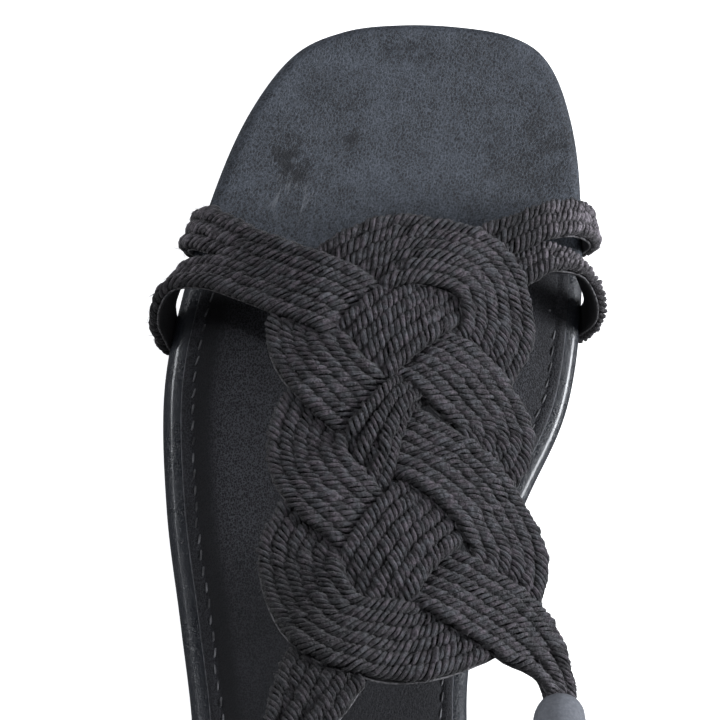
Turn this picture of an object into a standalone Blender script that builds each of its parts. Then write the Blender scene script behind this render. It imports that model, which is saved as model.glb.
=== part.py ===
"""Low heel sandal for the left foot, with a woven cord knot over the instep.

+Y points to the toe, +X to the inner side of the foot, +Z up, and the sole stands on Z = 0.
Sizes below are in millimetres and are scaled to metres where a mesh is made.
"""
import math

import bmesh
import bpy
from mathutils import Vector

MM = 0.001
GAP = 0.3

# Sole stack, from the floor up at the ball of the foot
OUTSOLE_THICKNESS = 2.5
FOOTBED_THICKNESS = 5.5
SOCK_THICKNESS = 1.2
OUTSOLE_INSET = 1.6
OUTSOLE_EDGE = 0.5
FOOTBED_EDGE = 2.6
SOCK_INSET = 4.4
SOCK_EDGE = 0.4
SOCK_FRONT = 66.5
SOCK_SLANT = 9.0
SLICE = 9.0
WELD = 0.01
OUTLINE_STEP = 4.5

# Heel
HEEL_CENTRE_X = -1.5
HEEL_SEAT_Y = -95.0
HEEL_BREAST = -73.0
HEEL_INSET = 2.4
HEEL_TAPER = 0.10
HEEL_LAYERS = 3
TIP_THICKNESS = 3.0

# Woven ribbons
RIBBON_WIDTH = 15.6
RIBBON_THICKNESS = 3.0
RIBBON_LIFT = 1.25
RIBBON_STEEPNESS = 1.7
RIBBON_STEP = 4.5
ARM_WIDTH = 7.6
ARM_THICKNESS = 2.5
ARM_STEP = 3.5
ARM_SLACK = 0.15
KNOT_HALF_WIDTH = 29.0
KNOT_SIDE_DROP = 5.0
ARCH_AXIS_HEIGHT = 5.0

# Ankle tie
TIE_RADIUS = 5.3
TIE_GAP = 0.45
TIE_END_RADII = (0.62, 0.92, 1.0)
TIE_SHOULDER_LENGTH = 3.0
TIE_STEP = 7.0

# Outline of the footbed seen from above: x across (inner side +), y along (toe +)
OUTLINE = (
    (13.0, 125.4),    # toe tip
    (25.0, 124.6),
    (33.0, 120.6),    # big toe corner
    (38.7, 111.0),
    (42.8, 95.0),
    (44.9, 68.0),     # inner ball
    (43.1, 43.5),
    (35.8, 23.5),
    (27.6, 3.0),
    (23.4, -19.0),    # inner waist
    (24.3, -45.0),
    (26.8, -75.0),
    (26.0, -98.0),    # inner heel
    (17.0, -117.5),
    (-1.5, -125.0),   # back of the heel
    (-20.0, -117.5),
    (-29.0, -98.0),   # outer heel
    (-31.4, -70.0),
    (-33.4, -38.0),
    (-37.2, -14.0),   # outer waist
    (-41.8, 12.0),
    (-44.2, 38.0),    # outer ball
    (-42.1, 59.0),
    (-37.2, 83.0),
    (-31.0, 101.5),
    (-22.5, 115.2),   # little toe corner
    (-12.0, 121.6),
    (0.0, 124.4),
)

# Underside of the outsole along the foot: y, height
SOLE_PROFILE = (
    (-126.0, 24.2),
    (-95.0, 23.6),    # heel seat
    (-70.0, 21.6),
    (-50.0, 18.2),
    (-30.0, 13.2),    # arch
    (-10.0, 7.8),
    (10.0, 3.2),
    (30.0, 0.7),
    (44.0, 0.0),      # flat tread
    (80.0, 0.0),
    (92.0, 0.7),
    (108.0, 2.5),
    (126.0, 5.6),     # toe spring
)

# Crest of the knot along the foot: y, height of the ribbons' middle layer
KNOT_PROFILE = (
    (-60.0, 77.0),
    (-40.0, 67.5),
    (-20.0, 59.0),
    (0.0, 51.0),
    (20.0, 44.0),
    (40.0, 38.5),
    (60.0, 34.0),
    (80.0, 30.5),
    (100.0, 28.0),
)

# Ribbon routes: x, y, level (+1 over, -1 under the ribbon that is crossed there), share of the full width
RING_ROUTE = (
    (4.0, 67.5, 0.0, 1.0),       # front arc
    (17.5, 64.5, 1.0, 1.0),      # over the inner arms
    (22.6, 53.5, 0.0, 1.0),      # first inner lobe
    (16.0, 37.5, -1.0, 1.0),     # under the outer ribbon
    (-0.5, 24.8, 1.2, 1.0),      # over itself, middle of the knot
    (-12.0, 11.5, -1.0, 1.0),    # under the inner ribbon
    (-17.4, -4.5, 0.0, 1.0),     # third outer lobe
    (-10.5, -18.3, 1.0, 1.0),    # over the outer tail
    (4.5, -20.5, 0.0, 1.0),      # back arc
    (19.5, -12.5, -1.0, 1.0),    # under the inner tail
    (25.0, 1.5, 0.0, 1.0),       # third inner lobe
    (15.5, 15.8, 1.0, 1.0),      # over the outer ribbon
    (-0.5, 26.2, -1.2, 1.0),     # under itself
    (-11.5, 35.5, 1.0, 1.0),     # over the inner ribbon
    (-17.8, 45.5, 0.0, 1.0),     # first outer lobe
    (-15.0, 55.5, -1.0, 1.0),    # under the outer arms
    (-7.0, 63.5, 0.0, 1.0),
)
OUTER_ROUTE = (
    (-25.5, 58.5, 0.3, 1.0),     # where the two outer arms meet
    (-15.5, 55.8, 1.0, 1.0),     # over the ring
    (-0.5, 48.0, -1.0, 1.0),     # under the inner ribbon
    (15.5, 37.6, 1.0, 1.0),      # over the ring
    (23.0, 27.5, 0.0, 1.0),      # second inner lobe
    (15.5, 15.8, -1.0, 1.0),     # under the ring
    (2.0, -0.5, 1.0, 1.0),       # over the inner ribbon
    (-8.5, -19.5, -1.0, 1.0),    # under the ring
    (-14.0, -31.5, -0.2, 0.95),  # outer tail
    (-18.5, -41.5, 0.0, 0.65),
    (-22.0, -48.5, 0.0, 0.46),
)
INNER_ROUTE = (
    (28.0, 70.5, -0.3, 1.0),     # where the two inner arms meet
    (18.0, 65.5, -1.0, 1.0),     # under the ring
    (-0.3, 49.5, 1.0, 1.0),      # over the outer ribbon
    (-11.8, 34.5, -1.0, 1.0),    # under the ring
    (-16.8, 21.5, 0.0, 1.0),     # second outer lobe
    (-12.5, 11.0, 1.0, 1.0),     # over the ring
    (1.5, 0.2, -1.0, 1.0),       # under the outer ribbon
    (17.5, -10.8, 1.0, 1.0),     # over the ring
    (28.8, -17.2, 0.2, 0.9),     # inner tail
    (34.3, -22.8, 0.0, 0.65),
    (36.2, -29.8, 0.0, 0.46),
)

# Arms, from the knot out to their widest point: x, y, z of the band's middle
ARM_ROUTES = {
    "outer_front": (
        (-18.0, 61.0, 33.0),
        (-28.5, 65.0, 28.2),
        (-35.9, 69.4, 22.0),
        (-39.9, 72.2, 17.0),
        (-41.4, 73.2, 12.3),
    ),
    "outer_rear": (
        (-18.0, 53.8, 33.6),
        (-29.0, 57.4, 29.4),
        (-38.0, 60.8, 24.2),
        (-44.9, 59.9, 19.2),
        (-46.8, 54.8, 13.5),
    ),
    "inner_front": (
        (20.0, 71.5, 30.5),
        (30.5, 77.9, 27.6),
        (38.4, 81.2, 23.2),
        (42.9, 82.3, 18.0),
        (45.3, 82.7, 12.2),
    ),
    "inner_rear": (
        (21.5, 63.5, 31.0),
        (32.0, 71.0, 27.2),
        (40.0, 71.8, 22.6),
        (44.5, 69.2, 17.8),
        (47.1, 64.8, 12.6),
    ),
}

# Where each arm reaches the rim, y, and the angles at which it then curls round it to the sole
ARM_FEET = {"outer_front": 74.0, "outer_rear": 51.6, "inner_front": 82.8, "inner_rear": 63.3}
RIM_ANGLES = (18.0, -16.0, -50.0)

# Ankle tie between the two tails: x, y, z of the tube's middle
TIE_ROUTE = (
    (36.3, -45.0, 64.0),    # inner side
    (38.3, -62.0, 74.0),
    (37.0, -81.0, 83.0),
    (29.0, -98.0, 89.5),
    (15.0, -109.0, 92.5),
    (-1.5, -112.5, 93.4),   # behind the ankle
    (-18.0, -109.0, 92.6),
    (-31.0, -98.0, 90.0),
    (-36.6, -83.5, 86.0),
    (-33.0, -69.5, 80.2),
    (-27.2, -58.8, 74.4),   # outer side
)


def monotone_curve(rows):
    """A smooth function through rows of (y, height) that stays flat where two rows are level."""
    places = [row[0] for row in rows]
    heights = [row[1] for row in rows]
    count = len(rows)
    rises = [(heights[i + 1] - heights[i]) / (places[i + 1] - places[i]) for i in range(count - 1)]
    slopes = [rises[0]]
    for before, after in zip(rises, rises[1:]):
        slopes.append(2 * before * after / (before + after) if before * after > 0 else 0.0)
    slopes.append(rises[-1])

    def height(y):
        y = min(max(y, places[0]), places[-1])
        i = min(sum(place <= y for place in places[1:-1]), count - 2)
        span = places[i + 1] - places[i]
        t = (y - places[i]) / span
        start = heights[i] * (1 + 2 * t) * (1 - t) ** 2 + slopes[i] * span * t * (1 - t) ** 2
        end = heights[i + 1] * t * t * (3 - 2 * t) - slopes[i + 1] * span * t * t * (1 - t)
        return start + end

    return height


sole_height = monotone_curve(SOLE_PROFILE)
knot_crest = monotone_curve(KNOT_PROFILE)


def smooth_route(rows, step, closed=False):
    """Points about step apart on a smooth curve through the rows, in every column."""
    rows = [Vector(row) for row in rows]
    count = len(rows)

    def row(index):
        return rows[index % count] if closed else rows[min(max(index, 0), count - 1)]

    points = []
    for i in range(count if closed else count - 1):
        before, start, end, after = row(i - 1), row(i), row(i + 1), row(i + 2)
        strides = max(1, round((end - start).length / step))
        for k in range(strides):
            t = k / strides
            bend = (2 * before - 5 * start + 4 * end - after) * t * t
            swing = (3 * start - before - 3 * end + after) * t ** 3
            points.append(start + ((end - before) * t + bend + swing) / 2)
    if not closed:
        points.append(rows[-1])
    return points


outline_points = smooth_route(OUTLINE, OUTLINE_STEP, True)


def knot_surface(x, y):
    """A point of the knot's middle surface, which sags to both sides of its crest."""
    return Vector((x, y, knot_crest(y) - KNOT_SIDE_DROP * (x / KNOT_HALF_WIDTH) ** 2))


def knot_normal(x, y):
    nudge = 0.5
    across = knot_surface(x + nudge, y) - knot_surface(x - nudge, y)
    along = knot_surface(x, y + nudge) - knot_surface(x, y - nudge)
    return across.cross(along).normalized()


def arch_normal(point):
    """The way out from the foot's long axis, which an arm's outer face looks along."""
    return Vector((point.x, 0.0, point.z - ARCH_AXIS_HEIGHT)).normalized()


def tangents(points, closed=False):
    count = len(points)
    found = []
    for i in range(count):
        before = points[(i - 1) % count] if closed else points[max(i - 1, 0)]
        after = points[(i + 1) % count] if closed else points[min(i + 1, count - 1)]
        found.append((after - before).normalized())
    return found


def band_sections(points, normals, widths, thickness, closed=False):
    """Four corners at each point of a flat band whose broad face looks along the normals."""
    sections = []
    for point, normal, width, tangent in zip(points, normals, widths, tangents(points, closed)):
        side = tangent.cross(normal).normalized()
        up = side.cross(tangent).normalized()
        half_side = side * width / 2
        half_up = up * thickness / 2
        sections.append([
            point - half_side - half_up,
            point + half_side - half_up,
            point + half_side + half_up,
            point - half_side + half_up,
        ])
    return sections


def finish(shape, name):
    """A mesh of triangles that face outwards."""
    bmesh.ops.triangulate(shape, faces=shape.faces[:])
    bmesh.ops.recalc_face_normals(shape, faces=shape.faces[:])
    mesh = bpy.data.meshes.new(name)
    shape.to_mesh(mesh)
    shape.free()
    return mesh


def loft(name, sections, closed=False):
    """A mesh through the sections, joined end to end or capped."""
    shape = bmesh.new()
    rings = [[shape.verts.new(corner * MM) for corner in section] for section in sections]
    pairs = list(zip(rings, rings[1:]))
    if closed:
        pairs.append((rings[-1], rings[0]))
    for ring, following in pairs:
        for i in range(len(ring)):
            k = (i + 1) % len(ring)
            shape.faces.new((ring[i], ring[k], following[k], following[i]))
    if not closed:
        shape.faces.new(reversed(rings[0]))
        shape.faces.new(rings[-1])
    return finish(shape, name)


def ribbon_frame(route, closed=False):
    """Points, normals and widths of a ribbon laid on the knot with its overs and unders."""
    samples = smooth_route(route, RIBBON_STEP, closed)
    normals = [knot_normal(row[0], row[1]) for row in samples]
    levels = [min(max(row[2] * RIBBON_STEEPNESS, -1.0), 1.0) for row in samples]
    points = [knot_surface(row[0], row[1]) + normal * level * RIBBON_LIFT
              for row, normal, level in zip(samples, normals, levels)]
    widths = [row[3] * RIBBON_WIDTH for row in samples]
    return points, normals, widths


def ribbon(name, route, closed=False):
    points, normals, widths = ribbon_frame(route, closed)
    return loft(name, band_sections(points, normals, widths, RIBBON_THICKNESS, closed), closed)


def rim_place(y, side):
    """The rim's edge at y on one side of the foot (+1 inner, -1 outer), and the way out from it."""
    points = outline_points
    for point, following in zip(points, points[1:] + points[:1]):
        crosses = min(point.y, following.y) <= y < max(point.y, following.y)
        if crosses and point.x * side > 0:
            share = (y - point.y) / (following.y - point.y)
            way = following - point
            out = Vector((way.y, -way.x)).normalized()
            return point.lerp(following, share), out if out.x * side > 0 else -out
    raise ValueError("no rim there")


def arm_foot(y, side):
    """Rows that curl an arm's end round the rim, clear of it, down to the outsole."""
    edge, out = rim_place(y, side)
    radius = FOOTBED_EDGE + GAP + ARM_SLACK + ARM_THICKNESS / 2
    middle = sole_height(y) + OUTSOLE_THICKNESS + GAP + FOOTBED_THICKNESS / 2
    rows = []
    for angle in RIM_ANGLES:
        sideways = math.cos(math.radians(angle))
        upwards = math.sin(math.radians(angle))
        reach = edge + out * (radius * sideways - FOOTBED_EDGE)
        place_here = (reach.x, reach.y, middle + radius * upwards)
        rows.append((*place_here, out.x * sideways, out.y * sideways, upwards))
    return rows


def arm(name, route):
    rows = [(*row, *arch_normal(Vector(row))) for row in route]
    rows += arm_foot(ARM_FEET[name], math.copysign(1, route[-1][0]))
    samples = smooth_route(rows, ARM_STEP)
    points = [Vector(sample[:3]) for sample in samples]
    normals = [Vector(sample[3:]).normalized() for sample in samples]
    widths = [ARM_WIDTH] * len(points)
    return loft(name, band_sections(points, normals, widths, ARM_THICKNESS))


def outline_slab(name, inset, thickness, edge, edge_steps):
    """A flat plate of the sole's outline with round edges, its middle on Z = 0."""
    curve = bpy.data.curves.new(name, "CURVE")
    curve.dimensions = "2D"
    curve.fill_mode = "BOTH"
    curve.extrude = (thickness / 2 - edge) * MM
    curve.bevel_depth = edge * MM
    curve.bevel_resolution = edge_steps
    curve.offset = -(inset + edge) * MM
    spline = curve.splines.new("POLY")
    spline.points.add(len(outline_points) - 1)
    spline.use_cyclic_u = True
    for knot, point in zip(spline.points, outline_points):
        knot.co = (point.x * MM, point.y * MM, 0.0, 1.0)
    holder = bpy.data.objects.new(name, curve)
    cutters.objects.link(holder)
    bpy.context.view_layer.update()
    mesh = bpy.data.meshes.new_from_object(holder.evaluated_get(bpy.context.evaluated_depsgraph_get()))
    bpy.data.objects.remove(holder)

    shape = bmesh.new()
    shape.from_mesh(mesh)
    bpy.data.meshes.remove(mesh)
    bmesh.ops.remove_doubles(shape, verts=shape.verts[:], dist=WELD * MM)
    bmesh.ops.dissolve_limit(shape, angle_limit=math.radians(1), verts=shape.verts[:], edges=shape.edges[:])
    bmesh.ops.recalc_face_normals(shape, faces=shape.faces[:])
    return shape


def cut(shape, place, direction, keep_both):
    """Slice the shape at a plane, and close it there when the part ahead of the plane goes."""
    everything = shape.verts[:] + shape.edges[:] + shape.faces[:]
    done = bmesh.ops.bisect_plane(
        shape, geom=everything, plane_co=[value * MM for value in place], plane_no=direction,
        clear_outer=not keep_both)
    if not keep_both:
        rim = [item for item in done["geom_cut"] if isinstance(item, bmesh.types.BMEdge)]
        bmesh.ops.holes_fill(shape, edges=rim, sides=len(rim))


def slice_across(shape):
    """Cuts at even steps along the foot, so that a plate can bend there."""
    lowest = min(row[1] for row in OUTLINE)
    highest = max(row[1] for row in OUTLINE)
    count = int((highest - lowest) / SLICE)
    for k in range(1, count):
        cut(shape, (0.0, lowest + k * SLICE, 0.0), (0, 1, 0), True)


def sole_layer(name, inset, thickness, edge, edge_steps, lift, front=None):
    """A layer of the sole, bent along the foot, with its underside lift above the sole's profile."""
    shape = outline_slab(name, inset, thickness, edge, edge_steps)
    if front is not None:
        slant = math.radians(SOCK_SLANT)
        cut(shape, (0.0, front, 0.0), (-math.sin(slant), math.cos(slant), 0), False)
    slice_across(shape)
    for vertex in shape.verts:
        rise = sole_height(vertex.co.y / MM) + lift + thickness / 2
        vertex.co.z += rise * MM
    return finish(shape, name)


def heel_piece(name, bottom, top, follows_sole):
    """A slice of the heel between two heights, narrower towards the floor."""
    full = sole_height(HEEL_SEAT_Y)
    shape = outline_slab(name, HEEL_INSET, 1.0, 0.0, 0)
    cut(shape, (0.0, HEEL_BREAST, 0.0), (0, 1, 0), False)
    if follows_sole:
        slice_across(shape)
        for k in range(1, HEEL_LAYERS):
            cut(shape, (0.0, 0.0, k / HEEL_LAYERS - 0.5), (0, 0, 1), True)
    centre_y = (HEEL_BREAST + min(row[1] for row in OUTLINE)) / 2
    for vertex in shape.verts:
        share = vertex.co.z / MM + 0.5
        reach = sole_height(vertex.co.y / MM) - GAP if follows_sole else top
        height = bottom + share * (reach - bottom)
        squeeze = 1 - HEEL_TAPER * (1 - height / full)
        vertex.co.x = (HEEL_CENTRE_X + (vertex.co.x / MM - HEEL_CENTRE_X) * squeeze) * MM
        vertex.co.y = (centre_y + (vertex.co.y / MM - centre_y) * squeeze) * MM
        vertex.co.z = height * MM
    return finish(shape, name)


def tail_end(route):
    """Where a ribbon's tail stops, and the way it points there."""
    points = ribbon_frame(route)[0]
    return points[-1], tangents(points)[-1]


def ankle_tie_curve(name):
    """A soft tube from the inner tail round behind the ankle to the outer tail."""
    inner_end, inner_way = tail_end(INNER_ROUTE)
    outer_end, outer_way = tail_end(OUTER_ROUTE)
    inner_mouth = inner_end + inner_way * TIE_GAP
    outer_mouth = outer_end + outer_way * TIE_GAP
    route = [inner_mouth, inner_mouth + inner_way * TIE_SHOULDER_LENGTH]
    route += [Vector(row) for row in TIE_ROUTE]
    route += [outer_mouth + outer_way * TIE_SHOULDER_LENGTH, outer_mouth]
    points = smooth_route(route, TIE_STEP)
    curve = bpy.data.curves.new(name, "CURVE")
    curve.dimensions = "3D"
    curve.bevel_depth = TIE_RADIUS * MM
    curve.bevel_resolution = 2
    curve.use_fill_caps = True
    spline = curve.splines.new("POLY")
    spline.points.add(len(points) - 1)
    last = len(points) - 1
    for i, point in enumerate(points):
        spline.points[i].co = (*(point * MM), 1.0)
        from_end = min(i, last - i)
        spline.points[i].radius = TIE_END_RADII[min(from_end, len(TIE_END_RADII) - 1)]
    return curve


def principled(name, colour, roughness):
    material = bpy.data.materials.new(name)
    material.use_nodes = True
    shader = material.node_tree.nodes["Principled BSDF"]
    shader.inputs["Base Color"].default_value = (*colour, 1.0)
    shader.inputs["Roughness"].default_value = roughness
    shader.inputs["Metallic"].default_value = 0.0
    return material


def place(name, data, material):
    """A finished piece of the sandal."""
    piece = bpy.data.objects.new(name, data)
    data.materials.append(material)
    parts.objects.link(piece)
    return piece


def join(piece, name, mesh):
    """Grow a piece by another shape."""
    tool = bpy.data.objects.new(name, mesh)
    tool.hide_render = True
    tool.display_type = "WIRE"
    cutters.objects.link(tool)
    union = piece.modifiers.new(name, "BOOLEAN")
    union.operation = "UNION"
    union.solver = "EXACT"
    union.use_self = True
    union.object = tool


for old in list(bpy.data.objects):
    bpy.data.objects.remove(old)
parts = bpy.data.collections.new("low_heel_sandal")
cutters = bpy.data.collections.new("cutters")
bpy.context.scene.collection.children.link(parts)
bpy.context.scene.collection.children.link(cutters)

sole_rubber = principled("sole_rubber", (0.012, 0.012, 0.013), 0.6)
heel_leather = principled("heel_leather", (0.014, 0.014, 0.016), 0.45)
tip_rubber = principled("tip_rubber", (0.010, 0.010, 0.011), 0.7)
footbed_leather = principled("footbed_leather", (0.035, 0.038, 0.045), 0.5)
sock_leather = principled("sock_leather", (0.014, 0.014, 0.017), 0.5)
woven_cord = principled("woven_cord", (0.020, 0.019, 0.022), 0.6)
tie_leather = principled("tie_leather", (0.130, 0.136, 0.154), 0.55)

footbed_lift = OUTSOLE_THICKNESS + GAP
sock_lift = footbed_lift + FOOTBED_THICKNESS + GAP

place("outsole", sole_layer(
    "outsole", OUTSOLE_INSET, OUTSOLE_THICKNESS, OUTSOLE_EDGE, 0, 0.0), sole_rubber)
place("footbed", sole_layer(
    "footbed", 0.0, FOOTBED_THICKNESS, FOOTBED_EDGE, 2, footbed_lift), footbed_leather)
place("sock_panel", sole_layer(
    "sock_panel", SOCK_INSET, SOCK_THICKNESS, SOCK_EDGE, 0, sock_lift, SOCK_FRONT), sock_leather)
place("heel_block", heel_piece("heel_block", TIP_THICKNESS + GAP, None, True), heel_leather)
place("heel_tip", heel_piece("heel_tip", 0.0, TIP_THICKNESS, False), tip_rubber)

upper = place("upper", ribbon("upper", RING_ROUTE, True), woven_cord)
join(upper, "outer_ribbon", ribbon("outer_ribbon", OUTER_ROUTE))
join(upper, "inner_ribbon", ribbon("inner_ribbon", INNER_ROUTE))
for arm_name, arm_route in ARM_ROUTES.items():
    join(upper, arm_name, arm(arm_name, arm_route))

place("ankle_tie", ankle_tie_curve("ankle_tie"), tie_leather)
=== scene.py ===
import math

import bmesh
import bpy
import numpy as np
from mathutils import Matrix, Vector


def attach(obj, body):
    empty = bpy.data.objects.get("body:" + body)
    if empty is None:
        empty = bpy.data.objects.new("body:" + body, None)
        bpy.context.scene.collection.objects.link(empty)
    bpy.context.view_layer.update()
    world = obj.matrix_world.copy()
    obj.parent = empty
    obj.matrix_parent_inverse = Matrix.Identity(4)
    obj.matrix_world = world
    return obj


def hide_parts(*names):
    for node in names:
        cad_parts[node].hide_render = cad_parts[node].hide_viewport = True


# Left low heel sandal. Tables are in millimetres: toe towards +Y, inner side towards +X, floor at 0
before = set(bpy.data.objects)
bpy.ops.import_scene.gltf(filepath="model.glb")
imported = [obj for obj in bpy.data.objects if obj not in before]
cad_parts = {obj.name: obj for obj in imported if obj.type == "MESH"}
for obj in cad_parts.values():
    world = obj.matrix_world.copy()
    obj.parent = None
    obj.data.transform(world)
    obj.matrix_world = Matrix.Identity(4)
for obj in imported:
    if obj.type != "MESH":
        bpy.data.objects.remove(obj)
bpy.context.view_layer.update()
mm = 0.001
print("frame loaded", sorted(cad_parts))


# Curves through short tables

def smoothProfile(rows):
    # a curve through rows of place and height, level where two rows are level
    places, heights = np.array(rows, float).T
    rises = np.diff(heights) / np.diff(places)
    slopes = np.concatenate([rises[:1], np.zeros(len(rows) - 2), rises[-1:]])
    for i in range(1, len(rows) - 1):
        if rises[i - 1] * rises[i] > 0:
            slopes[i] = 2 * rises[i - 1] * rises[i] / (rises[i - 1] + rises[i])

    def height(y):
        y = np.clip(y, places[0], places[-1])
        i = np.clip(np.searchsorted(places, y, side="right") - 1, 0, len(rows) - 2)
        span = places[i + 1] - places[i]
        t = (y - places[i]) / span
        start = heights[i] * (1 + 2 * t) * (1 - t) ** 2 + slopes[i] * span * t * (1 - t) ** 2
        end = heights[i + 1] * t * t * (3 - 2 * t) - slopes[i + 1] * span * t * t * (1 - t)
        return start + end

    return height


def smoothRoute(rows, step, closed=False):
    # points about step apart on a smooth curve through the rows, in every column
    rows = np.array(rows, float)
    count = len(rows)
    points = []
    for i in range(count if closed else count - 1):
        near = [k % count if closed else min(max(k, 0), count - 1) for k in range(i - 1, i + 3)]
        before, start, end, after = rows[near]
        strides = max(1, round(np.linalg.norm((end - start)[:3]) / step))
        t = np.arange(strides)[:, None] / strides
        bend = (2 * before - 5 * start + 4 * end - after) * t ** 2
        swing = (3 * start - before - 3 * end + after) * t ** 3
        points.append(start + ((end - before) * t + bend + swing) / 2)
    if not closed:
        points.append(rows[-1:])
    return np.vstack(points)


def unit(vectors):
    return vectors / np.linalg.norm(vectors, axis=-1, keepdims=True)


def directions(points, closed=False):
    if closed:
        return unit(np.roll(points, -1, axis=0) - np.roll(points, 1, axis=0))
    return unit(np.gradient(points, axis=0))


def travelled(points):
    # length of the way from the first point to each point
    return np.concatenate([[0], np.cumsum(np.linalg.norm(np.diff(points[:, :3], axis=0), axis=1))])


def evenSteps(rows, step, closed=False):
    # the same way with even steps, every column kept
    if closed:
        rows = np.vstack([rows, rows[:1]])
    length = travelled(rows)
    count = max(2, round(length[-1] / step))
    marks = np.linspace(0, length[-1], count + 1)
    even = np.stack([np.interp(marks, length, column) for column in rows.T], axis=1)
    return even[:-1] if closed else even


def soften(values, steps, closed=False):
    # a row of values evened out by a bell curve of that many steps
    reach = int(3 * steps)
    weights = np.exp(-0.5 * (np.arange(-reach, reach + 1) / steps) ** 2)
    padded = np.pad(values, reach, mode="wrap" if closed else "edge")
    return np.convolve(padded, weights / weights.sum(), mode="valid")


# Shader maths

class Wire:
    # a socket of a material, so that shader maths reads as plain expressions
    def __init__(self, tree, socket=None):
        self.tree = tree
        self.socket = socket

    def node(self, kind, settings=None, sockets=None, output=0):
        made = self.tree.nodes.new(kind)
        for name, value in (settings or {}).items():
            setattr(made, name, value)
        for name, value in (sockets or {}).items():
            if isinstance(value, Wire):
                self.tree.links.new(value.socket, made.inputs[name])
            else:
                made.inputs[name].default_value = value
        return Wire(self.tree, made.outputs[output])

    def sum(self, operation, first, second):
        return self.node("ShaderNodeMath", {"operation": operation}, {0: first, 1: second})

    def __add__(self, other):
        return self.sum("ADD", self, other)

    __radd__ = __add__

    def __sub__(self, other):
        return self.sum("SUBTRACT", self, other)

    def __rsub__(self, other):
        return self.sum("SUBTRACT", other, self)

    def __mul__(self, other):
        return self.sum("MULTIPLY", self, other)

    __rmul__ = __mul__

    def part(self, axis):
        return self.node("ShaderNodeSeparateXYZ", {}, {0: self}, axis)

    def between(self, low, high):
        # 0 below low, 1 above high, smooth between them
        return self.node(
            "ShaderNodeMapRange", {"interpolation_type": "SMOOTHSTEP", "clamp": True},
            {"Value": self, "From Min": low, "From Max": high})

    def colours(self, low, high):
        # from one colour to the other as this value goes from 0 to 1
        return self.node(
            "ShaderNodeMix", {"data_type": "RGBA", "clamp_factor": True},
            {0: self, 6: (*low, 1.0) if isinstance(low, tuple) else low,
             7: (*high, 1.0) if isinstance(high, tuple) else high}, 2)

    def stretched(self, scale, turn=0.0, shift=(0.0, 0.0, 0.0)):
        return self.node(
            "ShaderNodeMapping", {"vector_type": "TEXTURE"},
            {"Vector": self, "Location": shift, "Rotation": (0.0, 0.0, turn),
             "Scale": tuple(1 / size for size in scale)})

    def noise(self, scale, detail=2.0, roughness=0.5, colour=False):
        return self.node(
            "ShaderNodeTexNoise", {"noise_dimensions": "3D"},
            {"Vector": self, "Scale": scale, "Detail": detail, "Roughness": roughness}, 1 if colour else 0)

    def cells(self, scale, feature="F1", output=0):
        return self.node(
            "ShaderNodeTexVoronoi", {"feature": feature}, {"Vector": self, "Scale": scale}, output)

    def spot(self, centre, size):
        # 1 at a place on the shoe, falling to 0 at size from it
        offset = self.node(
            "ShaderNodeVectorMath", {"operation": "SUBTRACT"}, {0: self, 1: tuple(c * mm for c in centre)})
        shrunk = self.node(
            "ShaderNodeVectorMath", {"operation": "DIVIDE"}, {0: offset, 1: tuple(s * mm for s in size)})
        far = self.node("ShaderNodeVectorMath", {"operation": "LENGTH"}, {0: shrunk}, 1)
        return 1 - far.between(0.0, 1.0)

    def bumps(self, distance, strength):
        return self.node(
            "ShaderNodeBump", {}, {"Strength": strength, "Distance": distance * mm, "Height": self})


def shaderOf(material):
    return material.node_tree.nodes["Principled BSDF"]


def newMaterial(name, specular=0.5, sheen=0.0, coatRoughness=0.2):
    # an empty finish: its material, and the place on the shoe to start from
    material = bpy.data.materials.new(name)
    material.use_nodes = True
    shader = shaderOf(material)
    shader.inputs["Specular IOR Level"].default_value = specular
    shader.inputs["Sheen Weight"].default_value = sheen
    shader.inputs["Sheen Roughness"].default_value = 0.5
    shader.inputs["Coat Roughness"].default_value = coatRoughness
    return material, Wire(material.node_tree).node("ShaderNodeTexCoord", output="Object")


def dressed(material, colour, roughness, normal=None, coat=None):
    # link what a finish has worked out to its shader
    inputs = shaderOf(material).inputs
    wires = {"Base Color": colour, "Roughness": roughness, "Normal": normal, "Coat Weight": coat}
    for socket, wire in wires.items():
        if wire is not None:
            wire.tree.links.new(wire.socket, inputs[socket])
    return material


def toneFinish(name, specular, noise, bounds, dark, light):
    # a finish of one noise from a dark to a light colour
    material, place = newMaterial(name, specular)
    tone = place.noise(*noise).between(*bounds)
    return dressed(material, tone.colours(dark, light), 0.45 + tone * 0.2)


# Meshes and pieces

def faceOut(shape):
    bmesh.ops.recalc_face_normals(shape, faces=shape.faces[:])


def finished(shape):
    faceOut(shape)
    mesh = bpy.data.meshes.new("piece")
    shape.to_mesh(mesh)
    shape.free()
    return mesh


def addPiece(name, mesh, material, node):
    mesh.name = name
    piece = bpy.data.objects.new(name, mesh)
    bpy.context.scene.collection.objects.link(piece)
    mesh.materials.clear()
    mesh.materials.append(material)
    mesh.shade_smooth()
    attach(piece, "root")
    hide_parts(node)
    return piece


def tubes(ways, thickness, sides, closed=False):
    # one mesh of round strands; each way has rows of x, y, z and a share of the thickness
    curve = bpy.data.curves.new("strands", "CURVE")
    curve.dimensions = "3D"
    curve.bevel_depth = thickness / 2 * mm
    curve.bevel_resolution = sides // 2 - 2
    curve.use_fill_caps = True
    for way in ways:
        spline = curve.splines.new("POLY")
        spline.points.add(len(way) - 1)
        spline.use_cyclic_u = closed
        places = np.column_stack([way[:, :3] * mm, np.ones(len(way))])
        spline.points.foreach_set("co", places.ravel())
        spline.points.foreach_set("radius", way[:, 3].copy())
    holder = bpy.data.objects.new("strands", curve)
    bpy.context.scene.collection.objects.link(holder)
    bpy.context.view_layer.update()
    mesh = bpy.data.meshes.new_from_object(holder.evaluated_get(bpy.context.evaluated_depsgraph_get()))
    bpy.data.objects.remove(holder)
    bpy.data.curves.remove(curve)
    return mesh


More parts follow.
